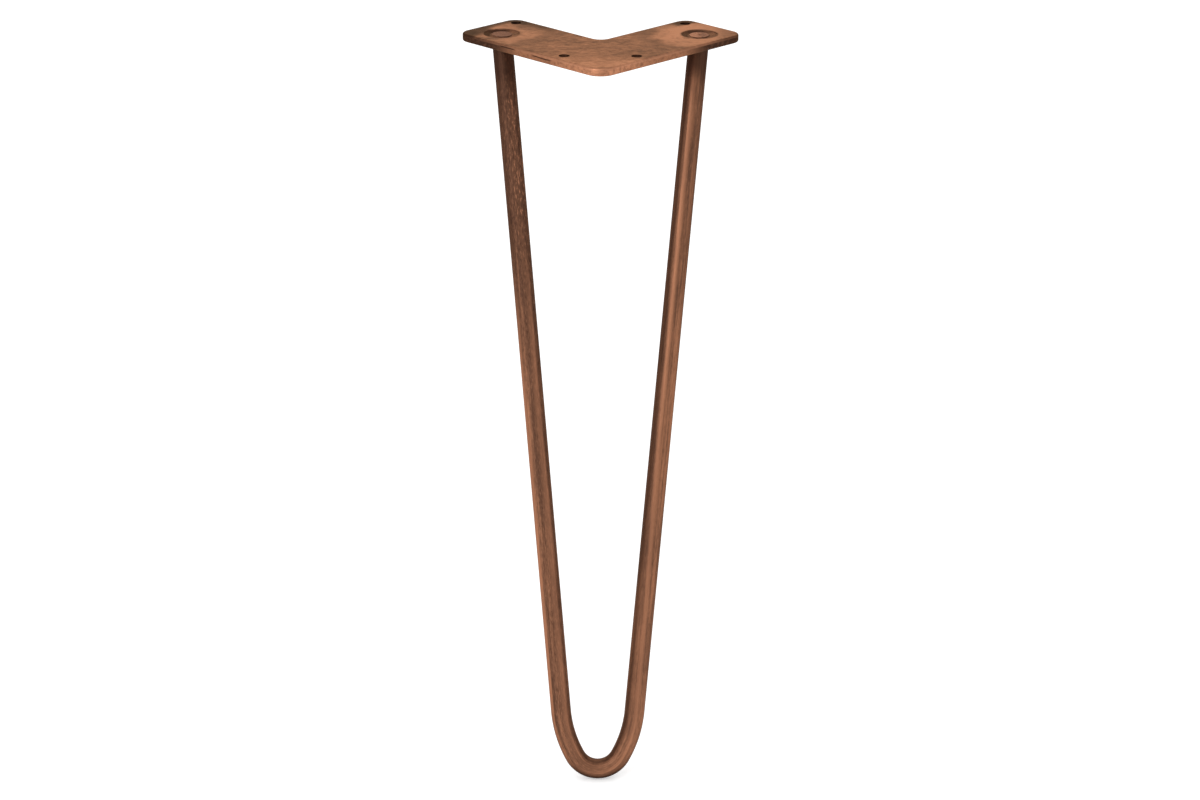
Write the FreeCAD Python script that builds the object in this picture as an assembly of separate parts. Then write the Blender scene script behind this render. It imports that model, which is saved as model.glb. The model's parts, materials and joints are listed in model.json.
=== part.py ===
"""Hairpin table leg: one bent round bar whose two ends pass up through a V-shaped
steel mounting plate and are plug-welded to it from above.

Millimetres, +Z up. The origin lies on the plate's top face, which is screwed against
the underside of the table top, where the centre lines of the plate's two arms cross.
The point of the V is towards -Y, the table's outer corner, and the two halves mirror
in X. The bar leans out towards -Y on its way down to the floor.

Places on an arm are given by two values: how far along the arm's centre line from the
origin, and how far across from that line, positive towards the inside of the V.
"""
import FreeCAD
import Part
import math
import os

from FreeCAD import Vector

# Overall
LEG_HEIGHT = 355.6         # top of the plate to the floor
BAR_DIAMETER = 10.0        # solid round bar
FOOT_LEAN = 85.0           # how far the foot stands out in front of the bar ends

# Mounting plate
PLATE_THICKNESS = 4.0
ARM_WIDTH = 38.8
ARM_REACH = 78.0           # origin to the end of an arm, along its centre line
ARM_ANGLE = 45.0           # an arm's direction, in degrees from the X axis
APEX_OUTER_RADIUS = 8.5
APEX_INNER_RADIUS = 5.0
ARM_CORNER_RADIUS = 6.5
RIM_RADIUS = 1.0           # tumbled edge round both faces

# Screw holes, two on each arm
SCREW_HOLE_DIAMETER = 5.0
FRONT_HOLE_ALONG = 11.0        # hole centre from the origin, along the arm's centre line
FRONT_HOLE_INSET = 6.45        # hole centre in from the arm's outer edge
REAR_HOLE_END_INSET = 7.0      # hole centre in from the arm's end
REAR_HOLE_SIDE_INSET = 6.35    # hole centre in from the arm's inner edge

# Bar ends and their plug welds
BAR_END_INSET = 16.6       # bar's axis in from the arm's end, at the top face
BAR_EDGE_INSET = 13.85     # bar's axis in from the arm's outer edge, at the top face
BAR_HOLE_CLEARANCE = 0.1   # hole radius over bar radius
BAR_END_SINK = 0.3         # bar end below the plate's top face
WELD_MOUTH_RADIUS = 8.8    # weld countersink at the plate's top face
WELD_ROOT_RADIUS = 6.4     # weld countersink at its bottom
WELD_DEPTH = 2.6           # countersink's bottom below the top face
WELD_EDGE_SINK = 0.25      # weld's outer edge below the top face
WELD_HOLLOW_SINK = 1.1     # weld's ring-shaped hollow below the top face
WELD_HOLLOW_RADIUS = 6.6   # where that hollow is deepest
WELD_INNER_SINK = 0.5      # weld below the top face where it meets the bar end
WELD_INNER_RADIUS = 4.5    # inside the bar, so the cut for the bar leaves a plain ring

# Bend at the foot, on the bar's centre line and in the bar's own plane
TOE_RADIUS = 12.7          # tight bend that stands on the floor
TOE_HALF_TURN = 60.8       # degrees turned on each side by the tight bend
SHOULDER_RADIUS = 57.3     # easier bend between the tight one and the straight

BEND_STEPS = 60            # rounds of closing in on the straight's angle
CUT_MARGIN = 20.0          # how far cutting tools run past what they cut

SIDES = {"left": -1, "right": 1}


def arm_point(along, across, side):
    """The point of the top face at this place on the left or right arm."""
    a = math.radians(ARM_ANGLE)
    x = along * math.cos(a) - across * math.sin(a)
    y = along * math.sin(a) + across * math.cos(a)
    return Vector(side * x, y, 0)


def outer_edge():
    """How far the arm's outer edge lies across from its centre line."""
    return -ARM_WIDTH / 2


def inner_edge():
    """How far the arm's inner edge lies across from its centre line."""
    return ARM_WIDTH / 2


def apex(across):
    """Where an arm edge at this distance across meets its mirror image, at X = 0."""
    return Vector(0, across / math.cos(math.radians(ARM_ANGLE)), 0)


def rounded_outline(corners):
    """A closed wire through corners, a list of (point, radius), each rounded by its radius."""
    starts, edges = [], []
    count = len(corners)
    for i, (point, radius) in enumerate(corners):
        back = (corners[i - 1][0] - point).normalize()
        ahead = (corners[(i + 1) % count][0] - point).normalize()
        half = back.getAngle(ahead) / 2
        reach = radius / math.tan(half)
        middle = (back + ahead).normalize()
        sagitta = radius / math.sin(half) - radius
        starts.append((point + back * reach, point + middle * sagitta, point + ahead * reach))
    for i, (begin, mid, end) in enumerate(starts):
        edges.append(Part.Arc(begin, mid, end).toShape())
        edges.append(Part.LineSegment(end, starts[(i + 1) % count][0]).toShape())
    return Part.Wire(edges)


def plate_blank():
    """The V-shaped blank with its rounded corners, top face at Z = 0, rims rounded."""
    corners = [(apex(outer_edge()), APEX_OUTER_RADIUS),
               (arm_point(ARM_REACH, outer_edge(), 1), ARM_CORNER_RADIUS),
               (arm_point(ARM_REACH, inner_edge(), 1), ARM_CORNER_RADIUS),
               (apex(inner_edge()), APEX_INNER_RADIUS),
               (arm_point(ARM_REACH, inner_edge(), -1), ARM_CORNER_RADIUS),
               (arm_point(ARM_REACH, outer_edge(), -1), ARM_CORNER_RADIUS)]
    face = Part.Face(rounded_outline(corners))
    blank = face.extrude(Vector(0, 0, -PLATE_THICKNESS))
    rims = [e for e in blank.Edges
            if abs(e.BoundBox.ZLength) < RIM_RADIUS / 2]
    return blank.makeFillet(RIM_RADIUS, rims)


def bar_end(side):
    """Where the bar's axis meets the plate's top face."""
    return arm_point(ARM_REACH - BAR_END_INSET, outer_edge() + BAR_EDGE_INSET, side)


def screw_places(side):
    """Centres of the front and rear screw holes of one arm, on the top face."""
    return {"front": arm_point(FRONT_HOLE_ALONG, outer_edge() + FRONT_HOLE_INSET, side),
            "rear": arm_point(ARM_REACH - REAR_HOLE_END_INSET,
                              inner_edge() - REAR_HOLE_SIDE_INSET, side)}


def foot_centre():
    """Lowest point of the bar's centre line."""
    return Vector(0, bar_end(1).y - FOOT_LEAN, BAR_DIAMETER / 2 - LEG_HEIGHT)


def bend_layout():
    """The bar's centre line in its own plane, as distances out from the middle and up
    from the foot: the ends of the toe bend and of the shoulder bend, and the angle of
    the straight from the plane's upright. The straight has to reach the bar end, so
    its angle is worked out again from where the bends leave off until it settles."""
    toe = math.radians(TOE_HALF_TURN)
    out_at_end = bar_end(1).x
    up_at_end = math.hypot(FOOT_LEAN, foot_centre().z)
    toe_end = (TOE_RADIUS * math.sin(toe), TOE_RADIUS * (1 - math.cos(toe)))
    splay = 0.0
    for _ in range(BEND_STEPS):
        shoulder_end = (toe_end[0] + SHOULDER_RADIUS * (math.cos(splay) - math.sin(toe)),
                        toe_end[1] + SHOULDER_RADIUS * (math.cos(toe) - math.sin(splay)))
        splay = math.atan2(out_at_end - shoulder_end[0], up_at_end - shoulder_end[1])
    return toe_end, shoulder_end, splay


def bar_plane_point(out, up):
    """A point of the bar's plane, from its distance out from the middle and up from the foot."""
    top = Vector(0, bar_end(1).y, 0)
    rise = (top - foot_centre()).normalize()
    return foot_centre() + Vector(out, 0, 0) + rise * up


def bar_direction(side):
    """Unit vector up along the straight of the bar on one side."""
    _, shoulder_end, _ = bend_layout()
    start = bar_plane_point(side * shoulder_end[0], shoulder_end[1])
    return (bar_end(side) - start).normalize()


def straight_top(side):
    """A point of the bar's axis above the plate, where the bar is cut off level."""
    return bar_end(side) + bar_direction(side) * CUT_MARGIN


def bend_middle(radius, base, begin, end):
    """The middle of an arc that turns from begin to end (radians from level) after base."""
    middle = (begin + end) / 2
    return (base[0] + radius * (math.sin(middle) - math.sin(begin)),
            base[1] + radius * (math.cos(begin) - math.cos(middle)))


def hairpin_path():
    """The bar's centre line: straight, shoulder, toe, toe, shoulder, straight."""
    toe_end, shoulder_end, splay = bend_layout()
    toe = math.radians(TOE_HALF_TURN)
    toe_mid = (0.0, 0.0)
    shoulder_mid = bend_middle(SHOULDER_RADIUS, toe_end, toe, math.pi / 2 - splay)

    def place(at, side):
        return bar_plane_point(side * at[0], at[1])

    left, right = -1, 1
    edges = [
        Part.LineSegment(straight_top(left), place(shoulder_end, left)),
        Part.Arc(place(shoulder_end, left), place(shoulder_mid, left), place(toe_end, left)),
        Part.Arc(place(toe_end, left), place(toe_mid, left), place(toe_end, right)),
        Part.Arc(place(toe_end, right), place(shoulder_mid, right), place(shoulder_end, right)),
        Part.LineSegment(place(shoulder_end, right), straight_top(right)),
    ]
    return Part.Wire([e.toShape() for e in edges])


def hairpin_bar():
    """The bent round bar, swept along its centre line and cut off level below the top face."""
    section = Part.Wire(Part.Circle(straight_top(-1), bar_direction(-1),
                                    BAR_DIAMETER / 2).toShape())
    swept = hairpin_path().makePipeShell([section], True, True)
    above = Part.makeBox(4 * ARM_REACH, 4 * ARM_REACH, 2 * CUT_MARGIN,
                         Vector(-2 * ARM_REACH, -2 * ARM_REACH, -BAR_END_SINK))
    return swept.cut(above)


def bar_hole(side):
    """The round hole that the bar passes through, drilled along the bar's own axis."""
    start = bar_end(side) - bar_direction(side) * CUT_MARGIN
    return Part.makeCylinder(BAR_DIAMETER / 2 + BAR_HOLE_CLEARANCE, 2 * CUT_MARGIN,
                             start, bar_direction(side))


def weld_countersink(side):
    """The cone that the plate is opened to round the bar end, from its top face down."""
    bottom = bar_end(side) - Vector(0, 0, WELD_DEPTH)
    return Part.makeCone(WELD_ROOT_RADIUS, WELD_MOUTH_RADIUS, WELD_DEPTH,
                         bottom, Vector(0, 0, 1))


def countersink_radius(sink):
    """The countersink's radius at this depth below the top face."""
    return WELD_MOUTH_RADIUS - (WELD_MOUTH_RADIUS - WELD_ROOT_RADIUS) * sink / WELD_DEPTH


def plug_weld(side, bar):
    """Ring of weld metal that fills the countersink round the bar end, with a shallow
    hollow between the bar end and the ring's outer edge."""
    centre = bar_end(side)
    edge_radius = countersink_radius(WELD_EDGE_SINK)

    def at(radius, sink):
        return centre + Vector(radius, 0, -sink)

    hollow = Part.Arc(at(WELD_INNER_RADIUS, WELD_INNER_SINK),
                      at(WELD_HOLLOW_RADIUS, WELD_HOLLOW_SINK),
                      at(edge_radius, WELD_EDGE_SINK))
    corners = [at(edge_radius, WELD_EDGE_SINK), at(WELD_ROOT_RADIUS, WELD_DEPTH),
               at(0, WELD_DEPTH), at(0, WELD_INNER_SINK),
               at(WELD_INNER_RADIUS, WELD_INNER_SINK)]
    edges = [hollow.toShape()]
    for begin, end in zip(corners, corners[1:]):
        edges.append(Part.LineSegment(begin, end).toShape())
    plug = Part.Face(Part.Wire(edges)).revolve(centre, Vector(0, 0, 1), 360)
    return plug.cut(bar)


def mounting_plate():
    """The V plate with its screw holes, bar holes and weld countersinks."""
    plate = plate_blank()
    for side in SIDES.values():
        for place in screw_places(side).values():
            drill = Part.makeCylinder(SCREW_HOLE_DIAMETER / 2, PLATE_THICKNESS + 2 * CUT_MARGIN,
                                      place - Vector(0, 0, PLATE_THICKNESS + CUT_MARGIN))
            plate = plate.cut(drill)
        plate = plate.cut(bar_hole(side))
        plate = plate.cut(weld_countersink(side))
    return plate


def save(name, shape):
    """Writes one solid as a STEP file and prints its volume."""
    solid = shape.Solids[0]
    solid.exportStep(os.path.join("parts", name + ".step"))
    print(name, "solids", len(shape.Solids), "valid", solid.isValid(),
          "volume", round(solid.Volume, 1), "mm3")


os.makedirs("parts", exist_ok=True)
bar_shape = hairpin_bar()
save("hairpin_bar", bar_shape)
save("mounting_plate", mounting_plate())
for side_name, side_sign in SIDES.items():
    save("plug_weld_" + side_name, plug_weld(side_sign, bar_shape))
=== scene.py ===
"""Looks of the hairpin table leg: a bent round bar in antique copper, plug-welded into a
V-shaped mounting plate. Metres, +Z up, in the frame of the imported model: the origin is on
the plate's top face and the point of the V is towards -Y.
"""
import json
import math

import bpy
import numpy as np
from mathutils import Matrix, Vector


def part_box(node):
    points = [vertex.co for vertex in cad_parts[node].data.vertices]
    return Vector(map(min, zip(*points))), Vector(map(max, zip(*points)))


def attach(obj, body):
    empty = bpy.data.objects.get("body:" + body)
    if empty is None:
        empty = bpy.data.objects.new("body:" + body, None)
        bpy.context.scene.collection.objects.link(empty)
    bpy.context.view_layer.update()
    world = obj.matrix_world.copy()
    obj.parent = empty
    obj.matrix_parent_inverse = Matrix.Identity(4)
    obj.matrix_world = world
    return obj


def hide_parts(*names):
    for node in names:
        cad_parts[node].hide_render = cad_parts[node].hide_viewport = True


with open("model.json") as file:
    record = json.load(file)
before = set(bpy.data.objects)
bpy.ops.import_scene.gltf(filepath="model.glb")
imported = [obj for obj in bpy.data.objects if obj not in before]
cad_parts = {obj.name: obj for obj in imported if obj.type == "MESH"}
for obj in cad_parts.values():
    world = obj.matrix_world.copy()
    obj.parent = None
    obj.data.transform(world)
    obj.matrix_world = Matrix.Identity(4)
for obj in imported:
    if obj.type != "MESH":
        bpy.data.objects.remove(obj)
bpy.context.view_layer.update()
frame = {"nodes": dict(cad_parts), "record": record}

MM = 0.001

# Shape of the bar
BAR_RADIUS = 5.0 * MM
TOE_RADIUS = 12.7 * MM             # tight bend on the floor, on the centre line
TOE_HALF_TURN = math.radians(60.8)
SHOULDER_RADIUS = 57.3 * MM        # easier bend between the tight one and the straight
BEND_STEPS = 60                    # rounds of closing in on the straight's angle
BAR_END_SINK = 0.3 * MM            # bar end below the plate's top face
BAR_END_ROUNDING = 0.25 * MM
TOE_FLATTENING = 0.025             # share of its thickness that the bar loses in the toe bend
DRAWING_RELIEF = 0.012 * MM        # height of the drawing lines along the bar
DRAWING_FINENESS = 6               # how many times finer they are than a ripple's own waves
PIT_RADIUS = 0.75 * MM             # small pit in the middle of the right bar end
PIT_DEPTH = 0.45 * MM
BAR_ROWS = 760
BAR_COLUMNS = 72
ROW_CROWDING = 1.25                # above 1, the rows lie closer together in the toe bend
ROUNDING_RINGS = 4
CAP_RINGS = 16

# Shape of the weld rings
COUNTERSINK_MOUTH = 8.8 * MM
COUNTERSINK_ROOT = 6.4 * MM
COUNTERSINK_DEPTH = 2.6 * MM
WELD_TOE_SINK = 0.3 * MM           # weld's outer edge below the top face
WELD_HOLLOW_SINK = 1.05 * MM
WELD_INNER_SINK = 0.48 * MM        # where the weld meets the bar's side
WELD_EDGE_UNEVENNESS = 0.13 * MM
WELD_UNEVENNESS = 0.12 * MM
BEAD_HEIGHT = 0.05 * MM
BEADS_ROUND = 22
BEAD_SLANT = 5.0                   # radians that a bead runs on between plate and bar
WELD_BITE = 0.04 * MM              # how far its hidden walls reach into plate and bar
WELD_COLUMNS = 240
WELD_ROWS = 24

# Plate, for the places of its marks
ARM_WIDTH = 38.8 * MM
ARM_REACH = 78.0 * MM              # origin to the end of an arm, along its centre line
CRACKS_AT = (-27.5, -44.0)         # x of the two short cracks in the left arm's side, in mm

# Colours of the finish, as linear red, green and blue; the dark patina also serves as painted
# shade, and the bare and rubbed copper as painted highlights
BARE_COPPER_AND_HIGHLIGHT = (0.66, 0.31, 0.18, 1)
RUBBED_COPPER_AND_HIGHLIGHT = (0.50, 0.222, 0.122, 1)
COPPER_BROWN = (0.345, 0.152, 0.082, 1)
BROWN_PATINA = (0.150, 0.070, 0.042, 1)
DARK_PATINA_AND_SHADE = (0.050, 0.023, 0.015, 1)
GRAZING_TINT = (0.60, 0.56, 0.54, 1)    # how far the metal keeps its shine at a low angle
PLATE_TINT = (0.60, 0.56, 0.50, 1)      # the same for plate and welds
FLOOR_GREY = (0.82, 0.82, 0.82, 1)
WHITE = (1, 1, 1, 1)

# Depth of the relief in the finish, and how a seed moves a pattern in each direction
BAR_GRAIN = 0.030 * MM
PLATE_GRAIN = 0.035 * MM
WELD_GRAIN = 0.060 * MM
SEED_SHIFT = (1.0, 1.7, 2.3)

# View of the photograph, for a frame 1200 pixels wide
FRAME_WIDTH = 1200
FOCAL_PIXELS = 3113.8
CAMERA_DISTANCE = 1452.9 * MM      # in front of the bar ends
CAMERA_HEIGHT = 378.1 * MM         # above the plate's top face
CAMERA_ASIDE = 0.46 * MM
CAMERA_PITCH = 0.3717
CAMERA_ROLL = 0.0042
SENSOR_WIDTH = 36.0                # millimetres, as Blender's cameras have it
CLIP_END = 50                      # metres

# Studio
ROOM_LIGHT = 0.68                  # strength of the white room round the leg
FLOOR_GLOW = 0.45                  # what whitens the floor for the camera and in reflections
FLOOR_REACH = 6.0                  # metres from the middle to each edge

# Sockets of the mix node that carry its factor and colours
MIX_FACTOR = 0
MIX_LOW = 6
MIX_HIGH = 7
MIX_RESULT = 2

SIDES = {"left": -1, "right": 1}


def mount(name):
    """One of the record's mounts."""
    return next(row for row in frame["record"]["mounts"] if row["name"] == name)


def weld_place(side_name):
    """Middle of a weld ring, where the bar's axis meets the plate's top face."""
    low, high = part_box("plug_weld_" + side_name)
    middle = (low + high) / 2
    return Vector((middle.x, middle.y, 0))


FLOOR_CONTACT = Vector(mount("floor_contact")["pos_m"])
FLOOR_Z = FLOOR_CONTACT.z
BAR_TOP = weld_place("right")      # where the right leg ends


# Meshes

def skin(name, points, ends_closed):
    """A closed skin over points, an array of (rows, columns, 3), each row a ring.

    With ends_closed, the first and last rows have shrunk to a point, and a fan of
    triangles closes each end. Without it, the last row joins the first, as on a tyre."""
    rows, columns = points.shape[:2]
    here = np.arange(rows * columns).reshape(rows, columns)
    right = np.roll(here, -1, axis=1)
    ahead = np.roll(here, -1, axis=0)
    ahead_right = np.roll(right, -1, axis=0)
    quads = np.stack([here, right, ahead_right, ahead], -1)
    if ends_closed:
        faces = quads[1:-2].reshape(-1, 4).tolist()
        first, last = here[0, 0], here[-1, 0]
        faces += [(first, b, a) for a, b in zip(here[1], right[1])]
        faces += [(last, a, b) for a, b in zip(here[-2], right[-2])]
    else:
        faces = quads.reshape(-1, 4).tolist()
    mesh = bpy.data.meshes.new(name)
    mesh.from_pydata(points.reshape(-1, 3), [], faces)
    mesh.polygons.foreach_set("use_smooth", np.ones(len(mesh.polygons), bool))
    piece = bpy.data.objects.new(name, mesh)
    bpy.context.scene.collection.objects.link(piece)
    return piece


def ripple(angle, along, seed, waves, pitch):
    """Gentle seeded unevenness between about -1 and 1, as a sum of sines.

    Each wave is sin(n * angle + 2 pi * along / length + phase), with n whole, from 1 to 8,
    so that the pattern joins up round a ring, and length about as long as the pitch. The
    sum is divided by the square root of the count."""
    dice = np.random.default_rng(seed)
    total = np.zeros(np.broadcast(angle, along).shape)
    for _ in range(waves):
        turns = dice.integers(1, 9)
        length = pitch * dice.uniform(0.6, 1.8)
        total += np.sin(turns * angle + 2 * np.pi * along / length + dice.uniform(0, 2 * np.pi))
    return total / math.sqrt(waves)


def straight_angle(out_at_end, up_at_end):
    """Angle of the bar's straight from level, in the bar's plane, so that it reaches its
    end: worked out again from where the bends leave off until it settles."""
    angle = math.pi / 2
    for _ in range(BEND_STEPS):
        out = (TOE_RADIUS * math.sin(TOE_HALF_TURN)
               + SHOULDER_RADIUS * (math.sin(angle) - math.sin(TOE_HALF_TURN)))
        up = (TOE_RADIUS * (1 - math.cos(TOE_HALF_TURN))
              + SHOULDER_RADIUS * (math.cos(TOE_HALF_TURN) - math.cos(angle)))
        angle = math.atan2(up_at_end - up, out_at_end - out)
    return angle


class BarLine:
    """The bar's centre line, measured along its length from the middle of the toe bend,
    minus on the left and plus on the right."""

    def __init__(self):
        self.foot = np.array(FLOOR_CONTACT) + [0, 0, BAR_RADIUS]
        top = np.array((0, BAR_TOP.y, 0))
        self.up_at_end = np.linalg.norm(top - self.foot)
        self.rise = (top - self.foot) / self.up_at_end
        self.across = np.array((1.0, 0, 0))
        self.square = np.cross(self.across, self.rise)      # square to the bar's plane
        self.angle = straight_angle(BAR_TOP.x, self.up_at_end)
        self.toe_length = TOE_RADIUS * TOE_HALF_TURN
        self.shoulder_length = SHOULDER_RADIUS * (self.angle - TOE_HALF_TURN)
        bends = self.toe_length + self.shoulder_length
        bends_up = (self.at(np.array([bends]))[0][0] - self.foot) @ self.rise
        self.length = bends + (self.up_at_end - bends_up) / math.sin(self.angle)

    def turned(self, along):
        """Angle turned in the toe bend, angle turned after the shoulder bend, and the
        length run in the straight, at each distance along."""
        far = np.abs(along)
        toe = np.minimum(far, self.toe_length) / TOE_RADIUS
        bend = np.clip(far - self.toe_length, 0, self.shoulder_length) / SHOULDER_RADIUS
        straight = np.maximum(far - self.toe_length - self.shoulder_length, 0)
        return toe, TOE_HALF_TURN + bend, straight

    def at(self, along):
        """Centre and inward normal: out = R sin(toe) + S (sin(turn) - sin(half turn)) +
        straight cos(angle), up = the same with 1 - cos, and the normal is square to it."""
        toe, turn, straight = self.turned(along)
        out = (TOE_RADIUS * np.sin(toe)
               + SHOULDER_RADIUS * (np.sin(turn) - math.sin(TOE_HALF_TURN))
               + straight * math.cos(self.angle))
        up = (TOE_RADIUS * (1 - np.cos(toe))
              + SHOULDER_RADIUS * (math.cos(TOE_HALF_TURN) - np.cos(turn))
              + straight * math.sin(self.angle))
        heading = np.where(toe < TOE_HALF_TURN, toe, turn)
        side = np.sign(along)
        centre = self.place(side * out, up)
        inward = self.place(-side * np.sin(heading), np.cos(heading)) - self.foot
        return centre, inward

    def place(self, out, up):
        """Point of the bar's plane, from its distance out from the middle and up."""
        return self.foot + out[..., None] * self.across + up[..., None] * self.rise

    def straight_direction(self, side):
        """Unit vector up along the straight on one side."""
        return side * math.cos(self.angle) * self.across + math.sin(self.angle) * self.rise


def bar_section(line, along, angle):
    """Offsets from the centre line: radius * (cos(angle) inward + sin(angle) square).

    The radius carries fine drawing lines. In the toe bend it shrinks towards the bend's
    middle and grows square to that, by half as much. It does so fully over half of the
    bend's turn, then less, and half of both stays at the bend's ends and in the legs."""
    toe, _, _ = line.turned(along)
    bent = np.clip(1.5 - toe / TOE_HALF_TURN, 0, 1) * TOE_FLATTENING
    lines = ripple(angle * DRAWING_FINENESS, along, seed=5, waves=14, pitch=0.35)
    radius = BAR_RADIUS + lines * DRAWING_RELIEF
    _, inward = line.at(along)
    in_plane = radius * (1 - bent) * np.cos(angle)
    square = radius * (1 + bent / 2) * np.sin(angle)
    return in_plane[..., None] * inward + square[..., None] * line.square


def level_cap(rim, centre, pit_depth):
    """Rings from a rim in to a pole: the first few round the edge over, the rest lie level.

    Ring k has its points at centre + share * (rim - centre). Towards the middle, the
    height falls by pit_depth * exp(-(radius / pit radius) squared)."""
    quarter = np.linspace(0, math.pi / 2, ROUNDING_RINGS + 1)[1:]
    edge_in = BAR_END_ROUNDING * (1 - np.cos(quarter)) / BAR_RADIUS
    edge_up = BAR_END_ROUNDING * (np.sin(quarter) - 1)
    shares = np.concatenate([1 - edge_in, np.linspace(1 - edge_in[-1], 0, CAP_RINGS)[1:]])
    heights = np.concatenate([edge_up, np.zeros(CAP_RINGS - 1)])
    heights = heights - pit_depth * np.exp(-(shares * BAR_RADIUS / PIT_RADIUS) ** 2)
    rings = centre + shares[:, None, None] * (rim - centre)
    rings[..., 2] = -BAR_END_SINK + heights[:, None]
    return rings, shares


def hairpin_bar():
    """The bent bar as one skin: rings carried along the centre line, with a level cap at
    each end. Ring k of n lies at reach * sign(s) * |s| to the power of the crowding, with s
    running evenly from -1 to 1. The attribute straightened holds where each point would be
    on the bar before it was bent: across, across and along, in metres."""
    line = BarLine()
    angle = np.linspace(0, 2 * np.pi, BAR_COLUMNS, endpoint=False)[None, :]
    evenly = np.linspace(-1, 1, BAR_ROWS)[:, None]
    share = np.sign(evenly) * np.abs(evenly) ** ROW_CROWDING
    cap_height = -BAR_END_SINK - BAR_END_ROUNDING
    top_offset = bar_section(line, line.length + 0 * angle, angle)[..., 2]
    reach = line.length + (cap_height - top_offset) / line.straight_direction(1)[2]
    along = share * reach
    points = line.at(along)[0] + bar_section(line, along, angle)
    straightened = np.stack([BAR_RADIUS * np.cos(angle) + 0 * along,
                             BAR_RADIUS * np.sin(angle) + 0 * along, along], -1)
    caps = {}
    for name, row in (("left", 0), ("right", -1)):
        rim = points[row]
        centre = np.append(rim[:, :2].mean(0), cap_height)
        rings, shares = level_cap(rim, centre, PIT_DEPTH if name == "right" else 0)
        flat = np.repeat(straightened[[row]], len(rings), 0)
        flat[..., :2] *= shares[:, None, None]
        caps[name] = (rings, flat)
    points = np.concatenate([caps["left"][0][::-1], points, caps["right"][0]])
    straightened = np.concatenate([caps["left"][1][::-1], straightened, caps["right"][1]])
    bar = skin("hairpin_bar_skin", points, ends_closed=True)
    attribute = bar.data.attributes.new("straightened", "FLOAT_VECTOR", "POINT")
    attribute.data.foreach_set("vector", straightened.ravel().astype(np.float32))
    return bar


def weld_ring(side_name):
    """A weld ring as a closed skin: its open face sinks from the countersink's wall to a
    shallow hollow and rises to the bar, and its hidden walls follow plate and bar.

    Open face, for u from 0 at the plate to 1 at the bar: sink = (1 - u) outer + u inner +
    (hollow - their mean) * 4 u (1 - u), each with its own unevenness round the ring, plus
    slanting beads of sin(beads * angle + slant * u + unevenness) * sin(pi u)."""
    line = BarLine()
    side = SIDES[side_name]
    angle = np.linspace(0, 2 * np.pi, WELD_COLUMNS, endpoint=False)[None, :]
    u = np.linspace(0, 1, WELD_ROWS)[:, None]
    uneven = ripple(angle, 0 * u, seed=20 + side, waves=5, pitch=1.0)
    uneven_inner = ripple(angle, 0 * u, seed=30 + side, waves=4, pitch=1.0)
    uneven_hollow = ripple(angle, 0 * u, seed=40 + side, waves=5, pitch=1.0)
    outer = WELD_TOE_SINK + WELD_EDGE_UNEVENNESS * uneven
    inner = WELD_INNER_SINK + WELD_UNEVENNESS * uneven_inner
    hollow = WELD_HOLLOW_SINK + WELD_UNEVENNESS * uneven_hollow
    sink = (1 - u) * outer + u * inner + (hollow - (outer + inner) / 2) * 4 * u * (1 - u)
    beads = np.sin(BEADS_ROUND * angle + BEAD_SLANT * u + uneven) * np.sin(np.pi * u)
    sink = sink + BEAD_HEIGHT * beads
    slope = (COUNTERSINK_MOUTH - COUNTERSINK_ROOT) / COUNTERSINK_DEPTH
    wall_radius = COUNTERSINK_MOUTH - slope * outer + WELD_BITE
    bar_radius = BAR_RADIUS - WELD_BITE
    radius = wall_radius + (bar_radius - wall_radius) * u
    lean = line.straight_direction(side)
    drift = -np.array([lean[0], lean[1]]) / lean[2]
    bottom_u = np.array([[1.0], [0.5], [0.0]])
    bottom_outer = COUNTERSINK_ROOT + WELD_BITE
    bottom_radius = bottom_outer + (bar_radius - bottom_outer) * bottom_u
    radius = np.concatenate([radius, bottom_radius + 0 * angle])
    sink = np.concatenate([sink, COUNTERSINK_DEPTH + 0 * bottom_radius + 0 * angle])
    follow = np.concatenate([u, bottom_u])
    centre = np.array(weld_place(side_name))
    x = centre[0] + radius * np.cos(angle) + follow * sink * drift[0]
    y = centre[1] + radius * np.sin(angle) + follow * sink * drift[1]
    points = np.stack([x, y, -sink], -1)
    return skin("weld_ring_" + side_name, points[::-1], ends_closed=False)


# Materials

class Field:
    """A number or colour that changes over a surface: the output of a shader node. Plain
    arithmetic with numbers and other fields makes the node that works it out."""

    def __init__(self, socket):
        self.socket = socket
        self.tree = socket.id_data

    def __add__(self, other):
        return calc(self.tree, "ADD", self, other)

    def __sub__(self, other):
        return calc(self.tree, "SUBTRACT", self, other)

    def __rsub__(self, other):
        return calc(self.tree, "SUBTRACT", other, self)

    def __mul__(self, other):
        return calc(self.tree, "MULTIPLY", self, other)

    def __truediv__(self, other):
        return calc(self.tree, "DIVIDE", self, other)

    def __abs__(self):
        return calc(self.tree, "ABSOLUTE", self)

    __radd__ = __add__
    __rmul__ = __mul__


def put(socket, value):
    """Links the socket to a field, or sets it to a number or colour."""
    if isinstance(value, Field):
        value.tree.links.new(value.socket, socket)
    else:
        socket.default_value = value


def calc(tree, operation, *values):
    """One arithmetic step on numbers and fields."""
    node = tree.nodes.new("ShaderNodeMath")
    node.operation = operation
    for socket, value in zip(node.inputs, values):
        put(socket, value)
    return Field(node.outputs["Value"])


def step(value, low, high, to_low=0.0, to_high=1.0):
    """Smooth step from to_low to to_high as value goes from low to high."""
    node = value.tree.nodes.new("ShaderNodeMapRange")
    node.interpolation_type = "SMOOTHSTEP"
    put(node.inputs["Value"], value)
    put(node.inputs["From Min"], low)
    put(node.inputs["From Max"], high)
    put(node.inputs["To Min"], to_low)
    put(node.inputs["To Max"], to_high)
    return Field(node.outputs["Result"])


def blend(factor, low, high):
    """Colour from low to high by factor."""
    node = factor.tree.nodes.new("ShaderNodeMix")
    node.data_type = "RGBA"
    put(node.inputs[MIX_FACTOR], factor)
    put(node.inputs[MIX_LOW], low)
    put(node.inputs[MIX_HIGH], high)
    return Field(node.outputs[MIX_RESULT])


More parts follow.
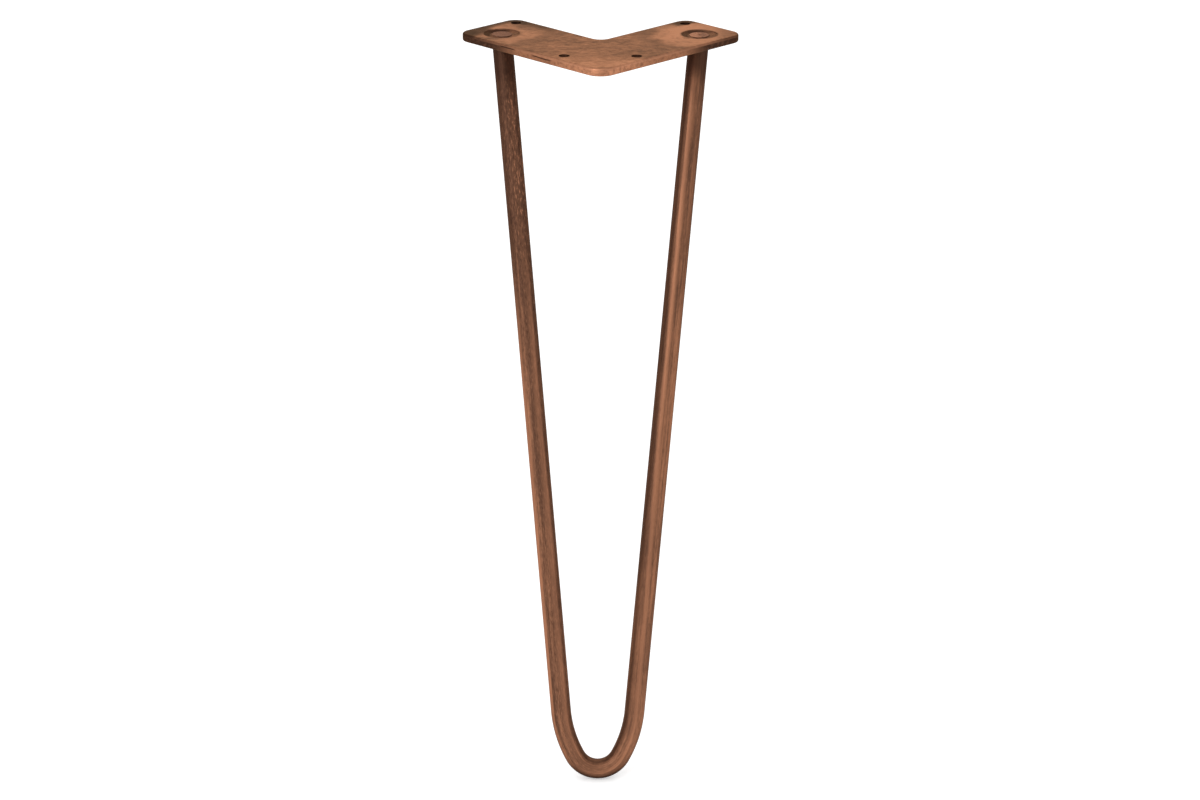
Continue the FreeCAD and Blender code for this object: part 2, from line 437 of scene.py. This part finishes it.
def noise(place, scale, stretch=(1, 1, 1), detail=4.0, roughness=0.55, seed=0.0):
    """Fractal noise with features of about 1/scale in the units of place, stretched by a
    factor in each direction."""
    mapping = place.tree.nodes.new("ShaderNodeMapping")
    mapping.inputs["Scale"].default_value = [scale / factor for factor in stretch]
    mapping.inputs["Location"].default_value = [seed * shift for shift in SEED_SHIFT]
    put(mapping.inputs["Vector"], place)
    texture = place.tree.nodes.new("ShaderNodeTexNoise")
    put(texture.inputs["Vector"], Field(mapping.outputs["Vector"]))
    texture.inputs["Scale"].default_value = 1.0
    texture.inputs["Detail"].default_value = detail
    texture.inputs["Roughness"].default_value = roughness
    return Field(texture.outputs["Fac"])


def in_millimetres(place):
    """The X, Y and Z of a place in metres, each as a field in millimetres."""
    node = place.tree.nodes.new("ShaderNodeSeparateXYZ")
    put(node.inputs["Vector"], place)
    return [Field(node.outputs[axis]) / MM for axis in "XYZ"]


def distance(a, b):
    """Distance over two steps square to each other: the square root of a * a + b * b."""
    return calc(a.tree, "SQRT", a * a + b * b)


def new_material(name):
    """A node material with its tree emptied but for a Principled shader and an output."""
    material = bpy.data.materials.new(name)
    material.use_nodes = True
    tree = material.node_tree
    tree.nodes.clear()
    shader = tree.nodes.new("ShaderNodeBsdfPrincipled")
    output = tree.nodes.new("ShaderNodeOutputMaterial")
    tree.links.new(shader.outputs["BSDF"], output.inputs["Surface"])
    return material, tree, shader


def place_on_object(tree):
    """Position on the object, in metres."""
    return Field(tree.nodes.new("ShaderNodeTexCoord").outputs["Object"])


def place_on_straight_bar(tree):
    """Position on the bar before it was bent, in metres."""
    node = tree.nodes.new("ShaderNodeAttribute")
    node.attribute_name = "straightened"
    return Field(node.outputs["Vector"])


def metal(shader, base_color, roughness, tint):
    """Sets the shader up as plated metal."""
    shader.inputs["Metallic"].default_value = 1.0
    shader.inputs["Specular Tint"].default_value = tint
    put(shader.inputs["Base Color"], base_color)
    put(shader.inputs["Roughness"], roughness)


def relief(shader, height, depth):
    """Gives the shader a small relief: height is a field, and 1 in it is depth metres."""
    node = height.tree.nodes.new("ShaderNodeBump")
    node.inputs["Distance"].default_value = depth
    node.inputs["Strength"].default_value = 1.0
    put(node.inputs["Height"], height)
    put(shader.inputs["Normal"], Field(node.outputs["Normal"]))


def bar_finish():
    """Antique copper on drawn bar: fine lines and short dashes along its length, browner
    on the left leg, darkest under the plate, from heat oxide and a painted shadow, with painted
    shade on the inner side of the hairpin and painted highlights down both legs.

    inward, square and along are places on the straightened bar, and far is the distance
    from the middle of the toe bend. Lengths are in millimetres."""
    material, tree, shader = new_material("antique_copper_bar")
    place = place_on_straight_bar(tree)
    inward, square, along = in_millimetres(place)
    lines = noise(place, 1500, stretch=(1, 1, 45), detail=4, roughness=0.7, seed=3)
    bands = noise(place, 420, stretch=(1, 1, 25), detail=3, seed=7)
    dashes = noise(place, 1700, stretch=(1, 1, 5), detail=3, roughness=0.65, seed=11)
    clouds = noise(place, 55, stretch=(1, 1, 2), detail=5, seed=13)
    grain = noise(place, 4200, detail=2, seed=17)
    far = abs(along)
    on_left = step(along, 30, -30)
    on_right = 1 - on_left
    high = step(far, 190, 280)
    high_left = on_left * high
    near_toe = step(far, 50, 20)

    # Clouded brown, a little browner on the left leg
    patina = 2.0 * lines + 1.9 * bands + 1.1 * clouds
    patina = patina + on_left * (0.20 - 0.25 * near_toe) + 0.15 * high_left
    color = blend(step(patina, 1.83, 2.93), COPPER_BROWN, BROWN_PATINA)

    # Short light and dark dashes, the light ones mostly high up on the left leg
    lightness = on_left * step(far, 240, 310, 0.15, 0.75) * step(inward, -2, 1, 0.4, 1.0)
    light_dashes = step(dashes, 0.53, 0.67) * (lightness + 0.22)
    color = blend(light_dashes, color, RUBBED_COPPER_AND_HIGHLIGHT)
    dark_dashes = step(dashes, 0.49, 0.32) * (0.32 + 0.20 * on_left + 0.25 * high_left)
    color = blend(dark_dashes, color, DARK_PATINA_AND_SHADE)

    # Painted shade on the inner side, darker up the leg and on the right
    shade_inward = inward + 2.2 * bands - 1.2 * on_left - 0.6 * high
    inside = shade_inward - 1.8 * step(far, 30, 12)
    inner_shade = step(far, 20, 220, 0.50, 0.70) - 0.22 * on_left
    color = blend(step(inside, -0.8, 5.2) * inner_shade, color, DARK_PATINA_AND_SHADE)

    # Painted shade on the outer side high up, more so on the left, and a painted highlight on
    # the outer side lower down on the left
    outer_shade = high * (0.28 + 0.27 * on_left)
    color = blend(step(shade_inward, 0.8, -4.2) * outer_shade, color, DARK_PATINA_AND_SHADE)
    outer_light = on_left * (1 - high) * (1 - near_toe) * step(shade_inward, -2.6, -4.6, 0, 0.65)
    color = blend(outer_light, color, RUBBED_COPPER_AND_HIGHLIGHT)

    # Painted shade on the underside of the toe bend
    lower_edge = inward + 1.6 * bands
    color = blend(step(far, 18, 6) * step(lower_edge, -0.4, -3.8), color, DARK_PATINA_AND_SHADE)

    # Lighter strip, a painted highlight, and thin dark line down the left leg, at its front and
    # back
    off_strip = abs(inward - 3.4 + 3.0 * bands)
    strip = step(off_strip, 2.0, 0.4, 0, 0.30) * on_left * step(far, 210, 280, 1.0, 0.15)
    color = blend(strip, color, RUBBED_COPPER_AND_HIGHLIGHT)
    off_dark_line = abs(inward + step(far, 60, 140, 1.6, 0) + 2.0 * bands)
    dark_line = step(off_dark_line, 1.0, 0.3, 0, 0.35) * on_left * step(far, 12, 30)
    color = blend(dark_line, color, DARK_PATINA_AND_SHADE)

    # Painted highlight line down the front of the right leg, drifting outwards towards the foot
    off_line = abs(inward - step(far, 60, 180, -0.3, 1.1) + 0.8 * bands)
    highlight_line = step(off_line, 1.7, 0.3, 0, 0.45) * step(square, 0, 2) * on_right
    color = blend(highlight_line, color, RUBBED_COPPER_AND_HIGHLIGHT)

    # Dark band under the plate, with a broken lower limit: heat oxide and the plate's painted
    # shadow
    band = far + 6 * bands + 14 * clouds
    color = blend(step(band, 340, 360, 0, 0.35), color, DARK_PATINA_AND_SHADE)
    color = blend(step(band, 354, 364, 0, 0.75), color, DARK_PATINA_AND_SHADE)

    # Ends in the plate: mottled, rubbed on the half towards the left, browner on the left leg
    end_color = blend(step(dashes, 0.42, 0.60), BROWN_PATINA, COPPER_BROWN)
    leftward = inward * (1 - 2 * on_left)
    end_light = step(leftward, -2, 2) * step(dashes, 0.38, 0.55, 0.3, 0.8)
    end_color = blend(end_light * (1 - 0.75 * on_left), end_color, RUBBED_COPPER_AND_HIGHLIGHT)
    end_color = blend(0.4 * on_left, end_color, BROWN_PATINA)
    bar_radius = BAR_RADIUS / MM
    on_side = step(distance(inward, square), 0.94 * bar_radius, 0.99 * bar_radius)
    color = blend(on_side, end_color, color)

    metal(shader, color, 0.34 + 0.20 * lines + 0.10 * grain, GRAZING_TINT)
    relief(shader, lines + 0.6 * dashes, BAR_GRAIN)
    return material


def from_weld(x, y):
    """How far a place is from the middle of the nearer weld: right, back and in all."""
    right = x - calc(x.tree, "SIGN", x) * (BAR_TOP.x / MM)
    back = y - BAR_TOP.y / MM
    return right, back, distance(right, back)


def from_hole(x, y, mount_name):
    """How far a place is from the middle of the nearer screw hole of a pair."""
    hole_x = mount(mount_name)["dims"]["spacing_x_mm"] / 2
    hole_y = mount(mount_name)["pos_m"][1] / MM
    return distance(abs(x) - hole_x, y - hole_y)


def plate_finish():
    """Antique copper on the plate: clouded brown with fine mottling, swirls ground round
    the welds, a dark left end and dark rear corners, rims rubbed bright and given a painted
    highlight by the point of the V and painted dark at the back, painted shade inside the screw
    holes, and two short cracks in the left arm's outer side.

    x, y and z, and every length, are in millimetres."""
    material, tree, shader = new_material("antique_copper_plate")
    place = place_on_object(tree)
    x, y, z = in_millimetres(place)
    clouds = noise(place, 34, detail=6, roughness=0.6, seed=2)
    smears = noise(place, 120, stretch=(2.6, 1, 1), detail=5, roughness=0.6, seed=5)
    mottle = noise(place, 620, stretch=(1.8, 1, 1), detail=4, roughness=0.65, seed=8)
    grain = noise(place, 3200, detail=3, seed=9)
    aside = abs(x)
    on_right = step(x, -10, 10)
    along_arm = (aside + y) * math.sqrt(0.5)
    across_arm = (y - aside) * math.sqrt(0.5)

    # Clouded brown, lighter by the point
    patina = 1.8 * clouds + 1.8 * smears + 2.2 * mottle - 0.80 * step(y, 0, -18)
    color = blend(step(patina, 2.50, 3.60, 0, 0.95), COPPER_BROWN, BROWN_PATINA)
    color = blend(step(patina, 2.70, 2.00, 0, 0.90), color, RUBBED_COPPER_AND_HIGHLIGHT)

    # Swirls ground round the welds, lighter and wider on the right, darker at their edge
    _, _, away = from_weld(x, y)
    waved = away + 24 * clouds + 18 * smears
    reach = waved - 5 * on_right
    swirl_place = tree.nodes.new("ShaderNodeCombineXYZ")
    put(swirl_place.inputs["X"], waved)
    swirls = noise(Field(swirl_place.outputs["Vector"]), 0.3, detail=2, seed=21)
    near = step(away, 8.5, 10) * step(reach, 32, 42, 1, 0)
    streaks = 0.45 * smears + 0.55 * swirls
    light_swirl = step(streaks, 0.46, 0.58, 0, 0.72) + 0.42 * on_right
    color = blend(near * light_swirl, color, RUBBED_COPPER_AND_HIGHLIGHT)
    dark_swirl = step(streaks, 0.50, 0.42, 0, 0.70) * (1 - 0.5 * on_right)
    color = blend(near * dark_swirl, color, BROWN_PATINA)
    edge_swirl = step(reach, 36.5, 41) * step(reach, 49.5, 42.5)
    color = blend(edge_swirl * (0.35 + 0.15 * on_right), color, BROWN_PATINA)
    past_right_weld = on_right * step(x, 53, 60, 0, 0.45)
    color = blend(past_right_weld, color, BROWN_PATINA)

    # Dark left end, and dark round the rear holes and along the arms' inner edges
    from_end = ARM_REACH / MM - 2 - along_arm + 10 * clouds + 8 * smears
    from_end = from_end - step(across_arm, 4, -14, 0, 8.5)
    end_dark = step(from_end, 14, 8.5, 0, 0.85) * (1 - 0.85 * on_right)
    color = blend(end_dark, color, DARK_PATINA_AND_SHADE)
    from_inner = ARM_WIDTH / MM / 2 - across_arm + 12 * clouds
    from_rear_hole = from_hole(x, y, "rear_screws")
    hole_dark = step(from_rear_hole + 5 * smears, 10, 6.5, 0, 0.80) * step(from_inner, 15, 12)
    color = blend(hole_dark, color, DARK_PATINA_AND_SHADE)
    inner_dark = step(from_inner, 15, 9, 0, 0.70) * step(along_arm, 30, 62)
    color = blend(inner_dark * (1 - 0.65 * on_right), color, DARK_PATINA_AND_SHADE)

    # Rims: rubbed bright and given a painted highlight by the point of the V, painted dark
    # reflection at the back
    on_rim = step(z, -0.02, -0.30)
    rim_color = blend(step(y, 0, 35), BARE_COPPER_AND_HIGHLIGHT, DARK_PATINA_AND_SHADE)
    color = blend(0.50 * on_rim, color, rim_color)

    # Sides: light by the point of the V, dark towards the tips
    on_side = step(z, -0.6, -1.4)
    side_color = blend(step(aside, 8, 30), RUBBED_COPPER_AND_HIGHLIGHT, COPPER_BROWN)
    side_color = blend(step(aside, 36, 52), side_color, DARK_PATINA_AND_SHADE)
    side_color = blend(step(mottle, 0.42, 0.65, 0, 0.5), side_color, BROWN_PATINA)
    color = blend(on_side, color, side_color)

    # Two short wavering cracks in the left arm's outer side
    near_crack, far_crack = CRACKS_AT
    crack_depth = step(x, far_crack, near_crack, 0.4, 1.2)
    off_crack = abs(z + crack_depth + 1.2 * smears)
    along_cracks = step(abs(x - near_crack), 5.5, 3.0) + step(abs(x - far_crack), 4.5, 2.5)
    crack = step(off_crack, 0.45, 0.15) * along_cracks * step(across_arm, -10, -14, 0, 0.90)
    color = blend(crack, color, DARK_PATINA_AND_SHADE)

    # Screw holes darkened inside with painted shade
    nearer_hole = calc(tree, "MINIMUM", from_hole(x, y, "front_screws"), from_rear_hole)
    color = blend(step(nearer_hole, 2.8, 2.5, 0, 0.85), color, DARK_PATINA_AND_SHADE)

    metal(shader, color, 0.33 + 0.22 * mottle + 0.10 * grain, PLATE_TINT)
    relief(shader, grain + 1.5 * mottle, PLATE_GRAIN)
    return material


def weld_finish():
    """Brown weld rings, with painted shade as a dark arc along their far left side. Lengths are
    in millimetres.
    """
    material, tree, shader = new_material("antique_copper_weld")
    place = place_on_object(tree)
    x, y, _ = in_millimetres(place)
    clouds = noise(place, 300, detail=5, seed=4)
    grain = noise(place, 3600, detail=3, seed=6)
    right, back, away = from_weld(x, y)
    # Painted shade of the countersink's far left wall, as a dark arc
    far_left = (back - right) / away + 0.8 * clouds
    painted_weld_shade = step(far_left, 0.6, 1.3) * step(away, 5, 6) * step(x, 10, -10, 0.70, 0.85)
    color = blend(step(clouds, 0.35, 0.65, 0.10, 0.50), BROWN_PATINA, COPPER_BROWN)
    color = blend(painted_weld_shade, color, DARK_PATINA_AND_SHADE)
    metal(shader, color, 0.38 + 0.25 * grain, PLATE_TINT)
    relief(shader, grain + 2.0 * clouds, WELD_GRAIN)
    return material


def floor_finish():
    """Pale floor that looks white to the camera and keeps the shadow that falls on it."""
    material, tree, shader = new_material("pale_floor")
    shader.inputs["Base Color"].default_value = FLOOR_GREY
    shader.inputs["Roughness"].default_value = 0.9
    shader.inputs["Specular IOR Level"].default_value = 0.0
    glow = tree.nodes.new("ShaderNodeEmission")
    glow.inputs["Color"].default_value = WHITE
    rays = tree.nodes.new("ShaderNodeLightPath")
    from_camera = Field(rays.outputs["Is Camera Ray"])
    from_shine = Field(rays.outputs["Is Glossy Ray"])
    seen = calc(tree, "MAXIMUM", from_camera, from_shine)
    put(glow.inputs["Strength"], seen * FLOOR_GLOW)
    total = tree.nodes.new("ShaderNodeAddShader")
    output = next(node for node in tree.nodes if node.type == "OUTPUT_MATERIAL")
    tree.links.new(shader.outputs["BSDF"], total.inputs[0])
    tree.links.new(glow.outputs["Emission"], total.inputs[1])
    tree.links.new(total.outputs["Shader"], output.inputs["Surface"])
    return material


# Set

def lay_floor():
    """A wide level floor under the leg's foot, the object's stage."""
    signs = ((-1, -1), (1, -1), (1, 1), (-1, 1))
    corners = [(x * FLOOR_REACH, y * FLOOR_REACH, FLOOR_Z) for x, y in signs]
    mesh = bpy.data.meshes.new("floor")
    mesh.from_pydata(corners, [], [(0, 1, 2, 3)])
    floor = bpy.data.objects.new("floor", mesh)
    bpy.context.scene.collection.objects.link(floor)
    mesh.materials.append(floor_finish())


def hang_lamp(name, place, target, size, watts):
    """A soft lamp of this width and height at place, turned towards target."""
    light = bpy.data.lights.new(name, "AREA")
    light.shape = "RECTANGLE"
    light.size, light.size_y = size
    light.energy = watts
    lamp = bpy.data.objects.new(name, light)
    lamp.location = place
    lamp.rotation_euler = (Vector(target) - Vector(place)).to_track_quat("-Z", "Y").to_euler()
    bpy.context.scene.collection.objects.link(lamp)


def light_studio():
    """Soft box at the left front, a broad one behind and above, one overhead, a weak fill
    at the right, and a pale room that looks white to the camera."""
    leg = (0, 0, FLOOR_Z / 2)
    plate = (0, 0, 0)
    hang_lamp("soft_box_front", place=(-1.1, -1.3, 0.7), target=leg, size=(1.0, 1.4), watts=13)
    hang_lamp("soft_box_back", place=(0.1, 1.7, 0.9), target=plate, size=(2.4, 0.8), watts=8)
    hang_lamp("soft_box_top", place=(0.1, -0.6, 1.6), target=leg, size=(1.4, 1.8), watts=3.5)
    hang_lamp("fill_right", place=(1.5, -0.7, 0.2), target=leg, size=(0.5, 1.2), watts=2)
    world = bpy.data.worlds.new("studio")
    bpy.context.scene.world = world
    world.use_nodes = True
    background = world.node_tree.nodes["Background"]
    background.inputs["Color"].default_value = WHITE
    rays = world.node_tree.nodes.new("ShaderNodeLightPath")
    seen = Field(rays.outputs["Is Camera Ray"])
    put(background.inputs["Strength"], seen * (1 - ROOM_LIGHT) + ROOM_LIGHT)


def set_camera():
    """Camera at the photograph's place: level aim towards +Y, pitched down, then rolled."""
    data = bpy.data.cameras.new("photo_camera")
    data.sensor_width = SENSOR_WIDTH
    data.lens = FOCAL_PIXELS / FRAME_WIDTH * SENSOR_WIDTH
    data.clip_end = CLIP_END
    camera = bpy.data.objects.new("photo_camera", data)
    pitched = Matrix.Rotation(math.pi / 2 - CAMERA_PITCH, 4, "X")
    rolled = Matrix.Rotation(CAMERA_ROLL, 4, "Z")
    place = Vector((CAMERA_ASIDE, BAR_TOP.y - CAMERA_DISTANCE, CAMERA_HEIGHT))
    camera.matrix_world = Matrix.Translation(place) @ pitched @ rolled
    bpy.context.scene.collection.objects.link(camera)
    bpy.context.scene.camera = camera


def dress_leg():
    """Puts the visible pieces in place of the plain ones and gives each its finish."""
    bar = hairpin_bar()
    bar.data.materials.append(bar_finish())
    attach(bar, "root")
    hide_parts("hairpin_bar")
    weld_material = weld_finish()
    for side_name in SIDES:
        ring = weld_ring(side_name)
        ring.data.materials.append(weld_material)
        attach(ring, "root")
        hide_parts("plug_weld_" + side_name)
    plate = frame["nodes"]["mounting_plate"]
    plate.data.materials.clear()
    plate.data.materials.append(plate_finish())


dress_leg()
lay_floor()
light_studio()
set_camera()
bpy.context.scene.view_settings.view_transform = "Standard"
